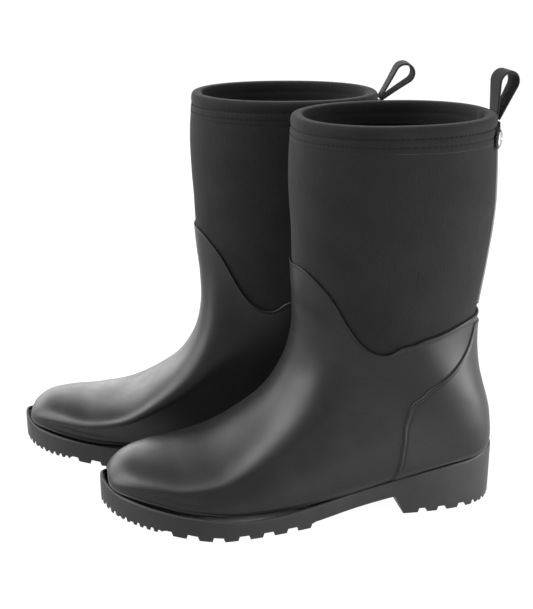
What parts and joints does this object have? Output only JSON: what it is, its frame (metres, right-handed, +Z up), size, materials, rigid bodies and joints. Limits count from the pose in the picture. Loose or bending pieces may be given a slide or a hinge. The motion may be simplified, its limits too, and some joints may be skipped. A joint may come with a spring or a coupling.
{
  "type": "pair of pull-on stable boots",
  "caption": "Pair of ankle-to-mid-calf pull-on boots: moulded rubber foot with lugged sole bonded to a neoprene leg, webbing pull loop and rivet at the back.",
  "frame": {"origin": "bottom centre of the pair's bounding box, on the ground under both soles", "axes": "-Y towards the toes, +Y towards the heels, +X towards the wearer's left, +Z up; the left boot stands along Y and the right one toes out by 9 degrees"},
  "size_m": [0.2243, 0.3324, 0.3009],
  "materials": {
    "outsole_rubber": "satin moulded",
    "shell_rubber": "satin moulded",
    "counter_rubber": "satin moulded",
    "neoprene_knit": "matte knitted facing",
    "sock_neoprene": "matte foam",
    "strip_tape": "matte",
    "lining_textile": "matte",
    "hem_knit": "matte",
    "thread": "matte",
    "webbing": "ribbed",
    "washer_rubber": "matte",
    "rivet_metal": "polished",
    "shank_steel": "plain",
    "board_fibre": "matte",
    "footbed_foam": "matte"
  },
  "bodies": {
    "left_boot": {"left_outsole": "outsole_rubber", "left_shank": "shank_steel", "left_insole_board": "board_fibre", "left_foot_shell": "shell_rubber", "left_heel_counter": "counter_rubber", "left_neoprene_sock": "sock_neoprene", "left_neoprene_leg": "neoprene_knit", "left_back_strip": "strip_tape", "left_lining": "lining_textile", "left_collar_hem": "hem_knit", "left_hem_stitching": "thread", "left_loop_tab": "webbing", "left_tab_stitching": "thread", "left_rivet_washer": "washer_rubber", "left_rivet_cap": "rivet_metal", "left_rivet_stem": "rivet_metal"},
    "right_boot": {"right_outsole": "outsole_rubber", "right_shank": "shank_steel", "right_insole_board": "board_fibre", "right_foot_shell": "shell_rubber", "right_heel_counter": "counter_rubber", "right_neoprene_sock": "sock_neoprene", "right_neoprene_leg": "neoprene_knit", "right_back_strip": "strip_tape", "right_lining": "lining_textile", "right_collar_hem": "hem_knit", "right_hem_stitching": "thread", "right_loop_tab": "webbing", "right_tab_stitching": "thread", "right_rivet_washer": "washer_rubber", "right_rivet_cap": "rivet_metal", "right_rivet_stem": "rivet_metal"},
    "left_loop": {"left_pull_loop": "webbing"},
    "left_insole": {"left_footbed": "footbed_foam"},
    "right_loop": {"right_pull_loop": "webbing"},
    "right_insole": {"right_footbed": "footbed_foam"}
  },
  "joints": [
    {"name": "right_boot_slide", "type": "slide", "parent": "left_boot", "child": "right_boot", "axis": [-1, 0, 0], "range_m": [0, 0.25]},
    {"name": "left_loop_hinge", "type": "hinge", "parent": "left_boot", "child": "left_loop", "pos_m": [0.06021, 0.15323, 0.2695], "axis": [-1, 0, 0], "range_deg": [-8, 58], "stiffness_Nm_per_rad": 0.02},
    {"name": "right_loop_hinge", "type": "hinge", "parent": "right_boot", "child": "right_loop", "pos_m": [-0.03238, 0.10203, 0.2695], "axis": [-0.9877, 0.1564, 0], "range_deg": [-37, 29], "stiffness_Nm_per_rad": 0.02},
    {"name": "left_footbed_lift", "type": "hinge", "parent": "left_boot", "child": "left_insole", "pos_m": [0.06021, -0.09623, 0.02469], "axis": [1, 0, 0], "range_deg": [0, 8]},
    {"name": "right_footbed_lift", "type": "hinge", "parent": "right_boot", "child": "right_insole", "pos_m": [-0.0714, -0.14437, 0.02469], "axis": [0.9877, -0.1564, 0], "range_deg": [0, 8]}
  ]
}
